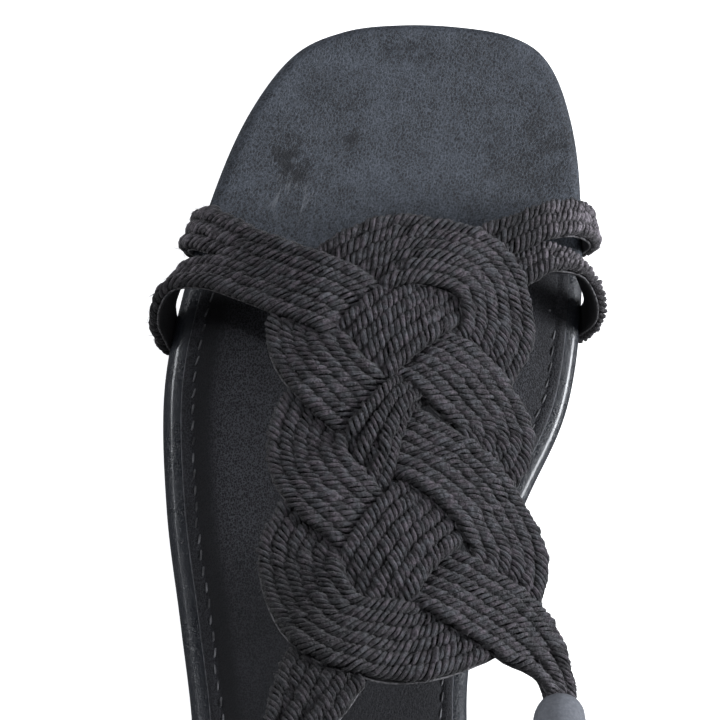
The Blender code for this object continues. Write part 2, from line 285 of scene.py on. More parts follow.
def gridShape(places):
    # a sheet whose rows and columns of corners lie at the given places
    rows, columns = places.shape[:2]
    shape = bmesh.new()
    shape.loops.layers.uv.new("UVMap")
    bmesh.ops.create_grid(shape, x_segments=columns - 1, y_segments=rows - 1, size=0.5, calc_uvs=True)
    for vertex in shape.verts:
        row = round((vertex.co.y + 0.5) * (rows - 1))
        column = round((vertex.co.x + 0.5) * (columns - 1))
        vertex.co = Vector(places[row, column]) * mm
    return shape


def cornerPlaces(mesh):
    places = np.empty(3 * len(mesh.vertices), dtype=np.float32)
    mesh.vertices.foreach_get("co", places)
    return places.reshape(-1, 3) / mm


def keepOn(mesh, label, values):
    # a value on every corner, for a finish to read
    layer = mesh.attributes.new(label, "FLOAT", "POINT")
    layer.data.foreach_set("value", values.astype(np.float32))


# Camera

view = {
    "target": (-3.094, 48.701, 9.0),
    "towardsCamera": (-0.116, -0.25, 0.9613),
    "distance": 800.0,
    "lean": 4.0,              # degrees that the toe leans to the right in the picture
    "pictureWidth": 720.0,
    "focalPixels": 3728.0,    # focal length in pixels of that picture
    "sensor": 36.0,
}


def addCamera():
    back = Vector(view["towardsCamera"]).normalized()
    toe = Vector((0, 1, 0))
    up = (toe - back * toe.dot(back)).normalized()
    up = Matrix.Rotation(math.radians(view["lean"]), 3, back) @ up
    right = up.cross(back)
    camera = bpy.data.objects.new("camera", bpy.data.cameras.new("camera"))
    camera.data.sensor_width = view["sensor"]
    camera.data.lens = view["focalPixels"] / view["pictureWidth"] * view["sensor"]
    camera.data.clip_start = 0.05
    turned = Matrix((right, up, back)).transposed().to_4x4()
    place = (Vector(view["target"]) + back * view["distance"]) * mm
    camera.matrix_world = Matrix.Translation(place) @ turned
    bpy.context.scene.collection.objects.link(camera)
    bpy.context.scene.camera = camera


addCamera()
print("camera set")


# Floor and light, in metres

studio = {
    "floorSize": 8.0,
    "floorColour": (0.90, 0.90, 0.90),
    "floorGlow": 0.80,
    "ambient": 0.12,
    "tint": (0.93, 0.96, 1.0),
    "lamps": (
        # name, place, aimed at, width, height, watts, mirrored in shiny leather
        ("overhead", (0.16, 0.24, 1.30), (0.02, 0.05, 0.0), 1.0, 0.8, 3.4, False),
        ("leftBox", (-1.00, 0.47, 1.02), (-0.04, 0.05, 0.02), 0.08, 0.8, 8.0, True),
        ("rightBox", (1.22, 0.10, 0.64), (0.0, 0.05, 0.02), 0.55, 0.5, 28.0, True),
    ),
}


def addStudio():
    shape = bmesh.new()
    bmesh.ops.create_grid(shape, x_segments=8, y_segments=8, size=studio["floorSize"] / 2)
    floor = bpy.data.objects.new("floor", finished(shape))
    bpy.context.scene.collection.objects.link(floor)
    material, _ = newMaterial("paleFloor", specular=0.2)
    shader = shaderOf(material)
    shader.inputs["Base Color"].default_value = (*studio["floorColour"], 1.0)
    shader.inputs["Roughness"].default_value = 0.8
    shader.inputs["Emission Color"].default_value = (1.0, 1.0, 1.0, 1.0)
    shader.inputs["Emission Strength"].default_value = studio["floorGlow"]
    floor.data.materials.append(material)
    floor.visible_glossy = False

    world = bpy.data.worlds.new("studio")
    world.use_nodes = True
    background = world.node_tree.nodes["Background"]
    background.inputs["Color"].default_value = (*studio["tint"], 1.0)
    background.inputs["Strength"].default_value = studio["ambient"]
    bpy.context.scene.world = world

    for name, place, target, width, height, watts, mirrored in studio["lamps"]:
        lamp = bpy.data.lights.new(name, "AREA")
        lamp.shape = "RECTANGLE"
        lamp.size = width
        lamp.size_y = height
        lamp.energy = watts
        lamp.color = studio["tint"]
        holder = bpy.data.objects.new(name, lamp)
        holder.location = place
        holder.rotation_euler = (Vector(target) - Vector(place)).to_track_quat("-Z", "Y").to_euler()
        holder.visible_camera = False
        holder.visible_glossy = mirrored
        bpy.context.scene.collection.objects.link(holder)

    bpy.context.scene.view_settings.view_transform = "Standard"
    bpy.context.scene.view_settings.look = "None"


addStudio()
print("floor and lamps set")


# Sole: outline seen from above, and the height of its underside along the foot

outlineRows = (
    (13.0, 125.4), (25.0, 124.6), (33.0, 120.6), (38.7, 111.0), (42.8, 95.0),     # toe and inner toe corner
    (44.9, 68.0), (43.1, 43.5), (35.8, 23.5), (27.6, 3.0), (23.4, -19.0),         # inner ball and waist
    (24.3, -45.0), (26.8, -75.0), (26.0, -98.0), (17.0, -117.5), (-1.5, -125.0),  # heel, inner half
    (-20.0, -117.5), (-29.0, -98.0), (-31.4, -70.0), (-33.4, -38.0), (-37.2, -14.0),
    (-41.8, 12.0), (-44.2, 38.0), (-42.1, 59.0), (-37.2, 83.0), (-31.0, 101.5),   # outer ball
    (-22.5, 115.2), (-12.0, 121.6), (0.0, 124.4),
)
soleHeight = smoothProfile((
    (-126.0, 24.2), (-95.0, 23.6), (-70.0, 21.6), (-50.0, 18.2), (-30.0, 13.2), (-10.0, 7.8), (10.0, 3.2),
    (30.0, 0.7), (44.0, 0.0), (80.0, 0.0), (92.0, 0.7), (108.0, 2.5), (126.0, 5.6),
))
outline = evenSteps(smoothRoute(outlineRows, 1.0, True), 1.6, True)[::-1]
soleReach = {"along": 126.0, "across": 48.0}    # just past the outline on every side


def outlineInside(distance):
    # the sole's outline moved in by a distance
    way = directions(outline, True)
    return outline + np.column_stack([-way[:, 1], way[:, 0]]) * distance


def outlineFace(shape, distance):
    points = outlineInside(distance)
    bmesh.ops.create_circle(shape, cap_ends=True, segments=len(points), radius=1.0)
    for vertex, point in zip(shape.verts, points):
        vertex.co = (point[0] * mm, point[1] * mm, 0.0)
    shape.normal_update()


def cut(shape, place, direction, dropping=False):
    everything = shape.verts[:] + shape.edges[:] + shape.faces[:]
    done = bmesh.ops.bisect_plane(shape, geom=everything, plane_co=[c * mm for c in place],
                                  plane_no=direction, clear_outer=dropping)
    return done["geom_cut"]


def cutAway(shape, place, direction):
    # drop what lies ahead of a plane, and close the cut
    made = cut(shape, place, direction, True)
    rim = [item for item in made if isinstance(item, bmesh.types.BMEdge)]
    bmesh.ops.holes_fill(shape, edges=rim, sides=0)


def slices(shape, step, axis, low, high):
    # cuts at even steps, so that a flat form can bend there
    direction = np.eye(3)[axis]
    for place in np.arange(low + step, high, step):
        cut(shape, direction * place, direction)


def strips(shape, along, across, front=soleReach["along"]):
    # cuts both ways over the whole sole
    slices(shape, along, 1, -soleReach["along"], front)
    slices(shape, across, 0, -soleReach["across"], soleReach["across"])


def raiseUp(shape, thickness):
    # give a flat face its thickness, closed below
    grown = bmesh.ops.extrude_face_region(shape, geom=shape.faces[:], use_keep_orig=True)
    moved = [item for item in grown["geom"] if isinstance(item, bmesh.types.BMVert)]
    bmesh.ops.translate(shape, verts=moved, vec=(0.0, 0.0, thickness * mm))
    faceOut(shape)


def levelEdges(shape, height):
    return [edge for edge in shape.edges if all(abs(v.co.z - height * mm) < 1e-7 for v in edge.verts)]


def roundOff(shape, edges, radius, segments):
    bmesh.ops.bevel(shape, geom=edges, offset=radius * mm, offset_type="OFFSET", affect="EDGES",
                    segments=segments, profile=0.5, material=-1, clamp_overlap=False)


def bendToSole(shape, lift):
    for vertex in shape.verts:
        vertex.co.z += (float(soleHeight(vertex.co.y / mm)) + lift) * mm


# Outsole

outsole = {"inset": 1.6, "thickness": 2.5, "edge": 0.5, "cuts": (4.0, 12.0)}


def outsoleRubber():
    material, place = newMaterial("soleRubber", specular=0.4)
    pores = place.noise(2600.0, 3.0, 0.6)
    blotches = place.noise(45.0, 4.0, 0.6)
    colour = blotches.between(0.4, 0.75).colours((0.010, 0.010, 0.011), (0.028, 0.027, 0.026))
    return dressed(material, colour, 0.5 + blotches * 0.25, pores.bumps(0.12, 0.6))


def makeOutsole():
    shape = bmesh.new()
    outlineFace(shape, outsole["inset"])
    raiseUp(shape, outsole["thickness"])
    roundOff(shape, levelEdges(shape, 0.0) + levelEdges(shape, outsole["thickness"]), outsole["edge"], 3)
    strips(shape, *outsole["cuts"])
    bendToSole(shape, 0.0)
    addPiece("outsoleLayer", finished(shape), outsoleRubber(), "outsole")


makeOutsole()
print("outsole made")


# Footbed board, wrapped in one grained leather

footbed = {
    "lift": 2.8, "thickness": 5.5, "edge": 2.7, "cuts": (3.0, 8.0),
    # the toe's colours are paler than the rim's on the same leather: its own pebbled grain, and painted
    # light for the light the toe catches
    "toeDark": (0.0058, 0.0068, 0.0102), "toeLight": (0.095, 0.110, 0.138),
    "rimDark": (0.009, 0.010, 0.013), "rimLight": (0.026, 0.029, 0.037),
    # dark marks on the toe: how dark, x, y, z, then their sizes; the thin strip ahead of the knot is painted
    # shadow, and the last two only darken the toe's two sides
    "darkMarksAndShade": ((1.0, (-22.4, 93.0, 11.0), (5.4, 6.2, 9.0)), (1.0, (-19.8, 89.2, 10.0), (5.0, 6.0, 9.0)),
               (0.8, (-8.2, 97.5, 11.0), (2.8, 3.4, 9.0)), (0.4, (-8.6, 105.0, 12.0), (3.5, 8.0, 9.0)),
               (0.4, (-17.0, 106.5, 12.0), (5.5, 5.0, 9.0)), (0.5, (2.0, 118.5, 13.0), (14.0, 5.0, 12.0)),
               (0.4, (22.0, 99.0, 11.0), (7.0, 11.0, 12.0)), (0.5, (6.0, 81.0, 9.0), (12.0, 4.0, 9.0)),
               (0.45, (36.0, 94.0, 11.0), (16.0, 34.0, 14.0)),
               (0.25, (-32.0, 88.0, 11.0), (12.0, 30.0, 14.0))),
    # fine light creases: x, y, z, then their sizes
    "creases": ((-20.4, 83.0, 9.0), (7.5, 8.0, 9.0)),
}


def footbedLeather():
    material, place = newMaterial("footbedLeather", specular=0.50, coatRoughness=0.13)
    along = place.part(1)
    across = place.part(0)
    # front: 1 on the toe, whose paler colours are partly painted light
    front = (along - across * 0.13).between(0.066, 0.074)

    drift = place.noise(420.0, 2.0, 0.5, colour=True)
    skin = place.node("ShaderNodeVectorMath", {"operation": "MULTIPLY_ADD"},
                      {0: drift, 1: (0.0009, 0.0009, 0.0009), 2: place})
    skin = skin.stretched((1.2, 0.85, 1.0), math.radians(-30))
    net = 1 - skin.cells(1380.0, "DISTANCE_TO_EDGE").between(0.0, 0.19)
    fine = skin.noise(1900.0, 3.0, 0.7).between(0.33, 0.67)
    mottle = place.noise(55.0, 4.0, 0.6).between(0.25, 0.75)
    patches = place.noise(240.0, 3.0, 0.6).between(0.3, 0.7)
    blotches = place.noise(330.0, 3.0, 0.6).between(0.3, 0.62)
    # dark marks, among them the painted shadow ahead of the knot
    marksAndShade = 0.0
    for dark, centre, size in footbed["darkMarksAndShade"]:
        marksAndShade = marksAndShade + place.spot(centre, size) * dark
    marksAndShade = marksAndShade * blotches
    crease = place.stretched((1500.0, 190.0, 900.0), math.radians(-16)).noise(1.0, 1.0).between(0.55, 0.68)
    crease = crease * place.spot(*footbed["creases"])

    toeShare = net * 0.30 + fine * 0.46 + mottle * 0.20 + patches * 0.17 - marksAndShade * 0.50 - 0.19
    toe = toeShare.colours(footbed["toeDark"], footbed["toeLight"])
    toe = (crease * 0.55).colours(toe, (0.20, 0.21, 0.23))
    rimShare = mottle * 0.4 + fine * 0.4 + net * 0.2
    rim = rimShare.colours(footbed["rimDark"], footbed["rimLight"])
    roughness = 0.24 + front * 0.34 + mottle * 0.08 + marksAndShade * front * 0.1
    polish = 0.25 + along.between(0.020, 0.050) * 0.75 + across.between(-0.01, 0.01) * 0.75
    coat = (1 - front) * polish * 0.30
    wrinkles = place.stretched((500.0, 1100.0, 500.0)).noise(1.0, 2.0).between(0.3, 0.7)
    height = fine * 0.6 - net * (0.1 + front * 0.4) + wrinkles * (1 - front) * 0.35
    return dressed(material, front.colours(rim, toe), roughness, height.bumps(0.16, 0.75), coat)


def makeFootbed():
    shape = bmesh.new()
    outlineFace(shape, 0.0)
    raiseUp(shape, footbed["thickness"])
    roundOff(shape, levelEdges(shape, 0.0) + levelEdges(shape, footbed["thickness"]), footbed["edge"], 8)
    strips(shape, *footbed["cuts"])
    bendToSole(shape, footbed["lift"])
    addPiece("wrappedFootbed", finished(shape), footbedLeather(), "footbed")


makeFootbed()
print("footbed made")


# Sock: the dark lining sewn on the footbed, from under the straps to the heel

sock = {
    "inset": 3.6, "front": 66.5, "slant": 9.0, "lastCut": 70.0, "lift": 8.32, "thickness": 0.75,
    # rings from the cut edge inwards: width of the ring, rise across it
    "rings": ((0.25, 0.22), (0.9, 0.05), (0.8, -0.05), (0.35, -0.22), (0.35, 0.22), (0.8, 0.10), (1.2, 0.20),
              (1.4, 0.22), (1.6, 0.12)),
    "stitchInset": 2.35, "stitchPitch": 3.6, "stitchLength": 2.3, "stitchThickness": 0.44, "stitchStep": 0.3,
    "stitchRise": 0.12, "edgeThickness": 0.36, "edgeStep": 1.5, "edgeRise": 0.75,
    "edgeColours": ((0.025, 0.026, 0.030), (0.105, 0.107, 0.120)),
    "frontMargin": 6.0,    # stitches and pale edge stop this far behind the front
    "dark": (0.0062, 0.0062, 0.0076), "light": (0.0600, 0.0602, 0.0700),
}


def sockLeather():
    material, place = newMaterial("sockLeather", specular=0.25)
    skin = place.stretched((1.2, 0.85, 1.0))
    net = 1 - skin.cells(1900.0, "DISTANCE_TO_EDGE").between(0.0, 0.24)
    fine = skin.noise(2100.0, 3.0, 0.7).between(0.33, 0.67)
    mottle = place.noise(38.0, 4.0, 0.6).between(0.3, 0.7)
    grain = net * 0.45 + fine * 0.55
    # painted light: paler grain where the padded sock catches the light, on its outer and inner side by the
    # knot
    paler = place.spot((-25.5, 30.0, 12.0), (12.0, 48.0, 14.0))
    paler = paler + place.spot((32.0, 48.0, 12.0), (12.0, 22.0, 14.0)) * 0.6
    inside = place.node("ShaderNodeAttribute", {"attribute_name": "inside"}, output="Fac")
    # painted shade in the groove just inside the stitches, fainter on the inner side
    grooveShade = inside.between(5.7, 6.5) * (1 - inside.between(8.4, 11.4))
    across = place.part(0)
    grooveShade = grooveShade * (1 - across.between(-0.02, 0.02) * 0.7)
    # painted shade: the sock darkened towards the heel and under the middle of the knot
    paintedShade = place.spot((-2.0, -62.0, 28.0), (56.0, 64.0, 50.0))
    paintedShade = paintedShade + place.spot((12.0, 38.0, 9.0), (15.0, 22.0, 14.0))    # painted shade on the sock under the middle of the knot
    share = grain.between(0.25, 0.85) * (0.44 + paler * 1.1) + mottle * 0.18 - 0.04
    share = share * (1 - grooveShade * 0.8) * (1 - paintedShade * 0.9)
    colour = share.colours(sock["dark"], sock["light"])
    dust = 1 - place.cells(105.0).between(0.018, 0.034)
    sparse = place.noise(70.0, 2.0).between(0.52, 0.60)
    colour = (dust * sparse * 0.8).colours(colour, (0.22, 0.22, 0.23))
    return dressed(material, colour, 0.54 + mottle * 0.12, (fine - net * 0.6).bumps(0.14, 0.6))


def markInside(mesh):
    # how far every corner lies inside the sole's outline, in millimetres
    plan = cornerPlaces(mesh)[:, :2]
    keepOn(mesh, "inside", np.linalg.norm(plan[:, None] - outline[None], axis=2).min(axis=1))


def threadFinish():
    material, place = newMaterial("sewingThread", specular=0.4)
    fibre = place.noise(3200.0, 2.0)
    fade = place.noise(210.0, 2.0).between(0.35, 0.65)
    colour = (fibre * fade).colours((0.018, 0.018, 0.020), (0.25, 0.25, 0.265))
    return dressed(material, colour, 0.45 + fibre * 0.2, fibre.bumps(0.08, 0.5))


def makeSock():
    shape = bmesh.new()
    outlineFace(shape, sock["inset"])
    raiseUp(shape, sock["thickness"])
    top = max(shape.faces, key=lambda face: face.calc_center_median().z)
    for width, rise in sock["rings"]:
        bmesh.ops.inset_region(
            shape, faces=[top], thickness=width * mm, depth=rise * mm, use_even_offset=True)
    slant = math.radians(sock["slant"])
    cutAway(shape, (0.0, sock["front"], 0.0), (-math.sin(slant), math.cos(slant), 0.0))
    strips(shape, *footbed["cuts"], sock["lastCut"])
    bendToSole(shape, sock["lift"])
    mesh = finished(shape)
    markInside(mesh)
    addPiece("sewnSock", mesh, sockLeather(), "sock_panel")


def makeSockStitches():
    row = outlineInside(sock["inset"] + sock["stitchInset"])
    first = int(np.argmin(row[:, 1]))
    row = np.roll(row, -first, axis=0)
    halves = (row[: len(row) // 2], row[len(row) // 2:][::-1])
    ways = []
    chance = np.random.default_rng(7)
    for half in halves:
        even = evenSteps(half, sock["stitchStep"])
        even = even[even[:, 1] < sock["front"] - sock["frontMargin"]]
        pitch = round(sock["stitchPitch"] / sock["stitchStep"])
        length = round(sock["stitchLength"] / sock["stitchStep"])
        for start in range(4, len(even) - length, pitch):
            marks = even[[start, start + 1, start + length // 3, start + 2 * length // 3,
                          start + length - 1, start + length]]
            # a little askew, its ends sunk into the leather
            way = unit(marks[-1] - marks[0])
            slant = np.linspace(-0.3, 0.3, 6) * (1 + chance.normal() * 0.4) + chance.normal() * 0.14
            marks = marks + np.array([way[1], -way[0]]) * slant[:, None]
            sunk = np.array([-0.30, 0.0, 0.12, 0.10, 0.02, -0.30]) + chance.normal() * 0.05
            height = soleHeight(marks[:, 1]) + sock["lift"] + sock["thickness"] + sock["stitchRise"] + sunk
            ways.append(np.column_stack([marks, height, (0.7, 0.9, 1.0, 1.0, 0.9, 0.7)]))
    mesh = tubes(ways, sock["stitchThickness"], 6)
    addPiece("sockStitches", mesh, threadFinish(), "sock_panel")


def makeSockEdge():
    # the pale cut edge of the sock
    row = outlineInside(sock["inset"])
    row = np.roll(row, -int(np.argmax(row[:, 1])), axis=0)
    row = evenSteps(row, sock["edgeStep"])
    row = row[row[:, 1] < sock["front"] - sock["frontMargin"]]
    height = soleHeight(row[:, 1]) + sock["lift"] + sock["thickness"] * sock["edgeRise"]
    way = np.column_stack([row, height, np.ones(len(row))])
    mesh = tubes([way], sock["edgeThickness"], 6)
    finish = toneFinish("sockEdge", 0.4, (700.0, 3.0, 0.6), (0.3, 0.7), *sock["edgeColours"])
    addPiece("sockEdge", mesh, finish, "sock_panel")


makeSock()
makeSockStitches()
makeSockEdge()
print("sock and stitches made")


# Heel: a wrapped block and its rubber tip

heel = {
    "breast": -73.0, "back": -125.0, "inset": 2.4, "taper": 0.10, "centreX": -1.5, "seatY": -95.0,
    "tip": 3.0, "gap": 0.05, "corner": 1.6, "blockEdge": 0.5, "tipEdge": 2.6,
    "blank": 20.0,    # height of the blank before it is fitted between its two heights
}


def heelLeather():
    material, place = newMaterial("heelLeather", specular=0.45)
    grain = (1 - place.cells(1300.0, "SMOOTH_F1")) * 0.6 + place.noise(2400.0, 3.0, 0.6) * 0.5
    mottle = place.noise(60.0, 4.0, 0.55)
    share = grain.between(0.3, 1.0) * 0.5 + mottle * 0.5
    colour = share.colours((0.009, 0.009, 0.011), (0.026, 0.027, 0.031))
    return dressed(material, colour, 0.38 + mottle * 0.14, grain.bumps(0.14, 0.5))


def tipRubber():
    material, place = newMaterial("tipRubber", specular=0.35)
    pores = place.noise(2200.0, 3.0, 0.6)
    blotches = place.noise(90.0, 4.0, 0.6)
    colour = blotches.colours((0.007, 0.007, 0.008), (0.024, 0.024, 0.024))
    return dressed(material, colour, 0.55 + blotches * 0.25, pores.bumps(0.12, 0.6))


def heelSlice(bottom, top, edgeRadius):
    # the heel between two heights; without a top it rises to the outsole
    full = float(soleHeight(heel["seatY"]))
    middle = (heel["breast"] + heel["back"]) / 2
    shape = bmesh.new()
    outlineFace(shape, heel["inset"])
    cutAway(shape, (0.0, heel["breast"], 0.0), (0.0, 1.0, 0.0))
    raiseUp(shape, heel["blank"])
    corners = [edge for edge in shape.edges
               if abs(edge.verts[0].co.z - edge.verts[1].co.z) > 1e-5
               and all(v.co.y > (heel["breast"] - 0.01) * mm for v in edge.verts)]
    roundOff(shape, corners, heel["corner"], 5)
    roundOff(shape, levelEdges(shape, 0.0), edgeRadius, 3)
    slices(shape, 2.5, 2, 2.0, heel["blank"] - 1.0)
    slices(shape, 4.0, 1, -soleReach["along"], heel["breast"])
    for vertex in shape.verts:
        share = vertex.co.z / (heel["blank"] * mm)
        reach = float(soleHeight(vertex.co.y / mm)) - heel["gap"] if top is None else top
        height = bottom + share * (reach - bottom)
        squeeze = 1 - heel["taper"] * (1 - height / full)
        vertex.co.x = (heel["centreX"] + (vertex.co.x / mm - heel["centreX"]) * squeeze) * mm
        vertex.co.y = (middle + (vertex.co.y / mm - middle) * squeeze) * mm
        vertex.co.z = height * mm
    bmesh.ops.remove_doubles(shape, verts=shape.verts[:], dist=2e-5)
    bmesh.ops.dissolve_degenerate(shape, edges=shape.edges[:], dist=1e-5)
    return finished(shape)


def makeHeel():
    block = heelSlice(heel["tip"] + heel["gap"], None, heel["blockEdge"])
    addPiece("heelBlock", block, heelLeather(), "heel_block")
    tip = heelSlice(0.0, heel["tip"], heel["tipEdge"])
    addPiece("heelTip", tip, tipRubber(), "heel_tip")


makeHeel()
print("heel made")


# Knot: ribbons of six twisted cords on two backing tapes, laid over and under each other

knot = {
    "lanes": 6, "lanePitch": 2.66, "lift": 1.6, "sideDrop": 5.0, "halfWidth": 29.0,
    "pastEdge": 0.3,         # how far past its edge a ribbon lifts another
    "ownStretch": 45,        # points of the ring that are too near along it to be a crossing
    "levelSoftness": 1.7,    # points over which a cord climbs
    # where a ribbon narrows its cords bunch up: share lost when fully bunched, stacking, loss of thickness
    "bunchLoss": 0.54, "bunchStack": 1.15, "bunchThinning": 0.16,
    "plies": 4, "plyThickness": 1.09, "plyAcross": 1.24, "plyUp": 0.86, "plyStep": 0.5,
    "twistPitch": 5.6, "twistStart": 2.4, "twistWobble": 0.22, "unevenness": 0.14,
    "strays": 4600, "strayThickness": 0.09, "strayLength": (0.7, 1.9),
    "strayColours": ((0.018, 0.016, 0.018), (0.115, 0.106, 0.116)),
    "tapeDrop": 1.42, "tapeThickness": 0.45, "tapeOverhang": 1.38, "tapeNarrowing": 1.8,
    "edgeThickness": 0.44,
}
knotCrest = smoothProfile((
    (-60.0, 77.0), (-40.0, 67.5), (-20.0, 59.0), (0.0, 51.0), (20.0, 44.0), (40.0, 38.5), (60.0, 34.0),
    (80.0, 30.5), (100.0, 28.0),
))
# middle line of each ribbon: x, y, share of the full width
ribbonRoutes = {
    "ring": (
        (4.0, 67.5, 1.0), (17.5, 64.5, 1.0), (22.6, 53.5, 1.0), (18.6, 43.0, 0.88), (11.5, 40.2, 0.56),
        (5.2, 36.8, 0.42), (0.6, 31.4, 0.45), (-2.8, 24.6, 0.60), (-6.2, 16.4, 0.84), (-12.6, 7.0, 0.98),
        (-17.6, -4.5, 1.0), (-11.2, -18.6, 1.0), (4.5, -20.5, 1.0), (19.5, -12.5, 1.0),
        (25.7, 1.5, 1.0), (15.5, 15.8, 1.0), (-0.5, 26.2, 1.0), (-11.5, 35.5, 1.0), (-17.8, 45.5, 1.0),
        (-15.0, 55.5, 1.0), (-7.0, 63.5, 1.0),
    ),
    "outer": (
        (-25.5, 58.5, 1.0), (-15.5, 55.8, 1.0), (-0.5, 48.0, 1.0), (15.5, 37.6, 1.0), (23.0, 27.5, 1.0),
        (15.5, 15.8, 1.0), (8.3, 8.1, 1.14), (1.6, -0.5, 1.08), (-8.5, -19.5, 1.0), (-14.0, -31.5, 0.95),
        (-18.5, -41.5, 0.62), (-21.4, -47.2, 0.37), (-22.4, -49.8, 0.29),
    ),
    "inner": (
        (28.0, 70.5, 1.0), (18.0, 65.5, 1.0), (-0.3, 49.5, 1.0), (-11.8, 34.5, 1.0), (-16.8, 21.5, 1.0),
        (-12.5, 11.0, 1.0), (1.5, 0.2, 1.0), (18.0, -10.6, 1.0), (29.6, -16.6, 0.90), (34.4, -22.0, 0.58),
        (36.0, -26.6, 0.39), (36.1, -29.4, 0.31), (36.0, -31.5, 0.28),
    ),
}
# crossings: x, y, ribbon on top, ribbon below
crossings = (
    (17.5, 65.0, "ring", "inner"), (-15.2, 55.6, "outer", "ring"), (-0.4, 48.7, "inner", "outer"),
    (15.8, 37.5, "outer", "ring"), (-11.6, 35.0, "ring", "inner"), (15.5, 15.8, "ring", "outer"),
    (-12.2, 11.2, "inner", "ring"), (1.8, -0.2, "outer", "inner"), (18.5, -11.6, "inner", "ring"),
    (-9.5, -18.9, "ring", "outer"),
)
# arms from the rim up to the knot: ribbon, its first lane there, y of the foot, then x, y, z of the middle,
# how many degrees its face looks up, how far it looks to the toe, and how far its cords spread
arms = {
    "outerFront": ("outer", 0, 74.0, (
        (-41.4, 73.2, 12.3, 6, 0.45, 1.22), (-39.9, 72.2, 17.0, 34, 0.22, 1.22),
        (-35.9, 69.4, 22.0, 50, 0.02, 1.12), (-28.5, 65.0, 28.2, 60, 0.18, 1.00))),
    "outerRear": ("outer", 3, 51.6, (
        (-46.8, 54.8, 13.5, -36, 0.25, 0.90), (-44.9, 59.9, 19.2, -2, 0.45, 0.92),
        (-38.0, 60.8, 24.2, 42, 0.42, 0.95), (-29.0, 57.4, 29.4, 58, 0.35, 1.00))),
    "innerRear": ("inner", 0, 63.3, (
        (47.1, 64.8, 12.6, -14, 0.30, 0.80), (44.5, 69.2, 17.8, 4, 0.75, 0.80),
        (40.0, 71.8, 22.6, 28, 0.85, 0.80), (32.0, 71.0, 27.2, 50, 0.60, 0.90))),
    "innerFront": ("inner", 3, 82.8, (
        (45.3, 82.7, 12.2, 2, 0.28, 1.00), (42.9, 82.3, 18.0, 22, 0.30, 1.00),
        (38.4, 81.2, 23.2, 38, 0.38, 0.97), (30.5, 77.9, 27.6, 50, 0.50, 0.92))),
}
armFoot = {
    "angles": (-60.0, -36.0, -14.0), "clearance": 0.35, "cordHalf": 1.45, "cords": 3,
    "knotStart": 17.0, "bridgeStep": 3,
}
# pale seam line between a cord of an arm and the next, from the first to the last millimetre from the foot
armSeam = {"ribbon": "outer", "lane": 4, "first": 12, "last": 38, "rise": 1.0, "share": 0.55}


def knotHeight(x, y):
    return knotCrest(y) - knot["sideDrop"] * (x / knot["halfWidth"]) ** 2


def knotNormal(x, y):
    slopeX = -2 * knot["sideDrop"] * x / knot["halfWidth"] ** 2
    slopeY = knotCrest(y + 0.5) - knotCrest(y - 0.5)
    return unit(np.column_stack([-slopeX, -slopeY, np.ones_like(x)]))


def layRibbons():
    # plan of every ribbon: places, way, sideways and share of the width
    laid = {}
    for name, rows in ribbonRoutes.items():
        closed = name == "ring"
        route = evenSteps(np.insert(smoothRoute(rows, 0.5, closed), 2, 0.0, axis=1), 1.0, closed)
        plan = route[:, :2]
        way = directions(plan, closed)
        laid[name] = {"closed": closed, "plan": plan, "way": way, "share": route[:, 3],
                      "side": np.column_stack([way[:, 1], -way[:, 0]])}
    return laid


def overUnder(laid, name, lane):
    # +1 where a lane lies over another ribbon, -1 where it lies under one
    own = laid[name]
    total = np.zeros(len(lane))
    weights = np.full(len(lane), 1e-6)
    for other, ribbon in laid.items():
        gaps = np.linalg.norm(lane[:, None] - ribbon["plan"][None], axis=2)
        if other == name:
            if not own["closed"]:
                continue
            apart = np.abs(np.arange(len(lane))[:, None] - np.arange(len(lane))[None])
            gaps[np.minimum(apart, len(lane) - apart) < knot["ownStretch"]] = 1e6
        nearest = gaps.argmin(axis=1)
        reach = (knot["lanes"] / 2 * knot["lanePitch"] + knot["pastEdge"]) * ribbon["share"][nearest]
        weight = np.clip(1 - gaps.min(axis=1) / reach, 0, 1)
        if other == name:
            sign = np.where(own["way"][:, 1] < 0, 1.0, -1.0)    # its way back to the heel lies on top
        else:
            pairs = [row for row in crossings if {row[2], row[3]} == {name, other}]
            marks = np.array([row[:2] for row in pairs])
            signs = np.array([1.0 if row[2] == name else -1.0 for row in pairs])
            sign = signs[np.linalg.norm(lane[:, None] - marks[None], axis=2).argmin(axis=1)]
        total += sign * weight
        weights += weight
    return np.clip(total / weights, -1, 1)


def ribbonLanes(laid, name):
    # middle line of each cord of a ribbon: x, y, z, its normal, share of the thickness, over or under
    own = laid[name]
    lanes = []
    for i in range(knot["lanes"]):
        offset = (i - (knot["lanes"] - 1) / 2) * knot["lanePitch"] * own["share"]
        plan = own["plan"] + own["side"] * offset[:, None]
        level = soften(overUnder(laid, name, plan), knot["levelSoftness"], own["closed"])
        bunch = np.clip((1 - own["share"]) / knot["bunchLoss"], 0, 1)
        stack = bunch * (knot["bunchStack"] if i % 2 else -knot["bunchStack"])
        normal = knotNormal(plan[:, 0], plan[:, 1])
        base = np.column_stack([plan, knotHeight(plan[:, 0], plan[:, 1])])
        places = base + normal * (level * knot["lift"] + stack)[:, None]
        lanes.append(np.column_stack([places, normal, 1 - knot["bunchThinning"] * bunch, level]))
    return lanes


def rimPlace(y, side):
    # the rim's edge at y on one side of the foot, and the way out from it
    ahead = np.roll(outline, -1, axis=0)
    crosses = (np.minimum(outline[:, 1], ahead[:, 1]) <= y) & (y < np.maximum(outline[:, 1], ahead[:, 1]))
    i = np.flatnonzero(crosses & (outline[:, 0] * side > 0))[0]
    share = (y - outline[i, 1]) / (ahead[i, 1] - outline[i, 1])
    way = ahead[i] - outline[i]
    out = unit(np.array([way[1], -way[0]]))
    return outline[i] + way * share, out if out[0] * side > 0 else -out


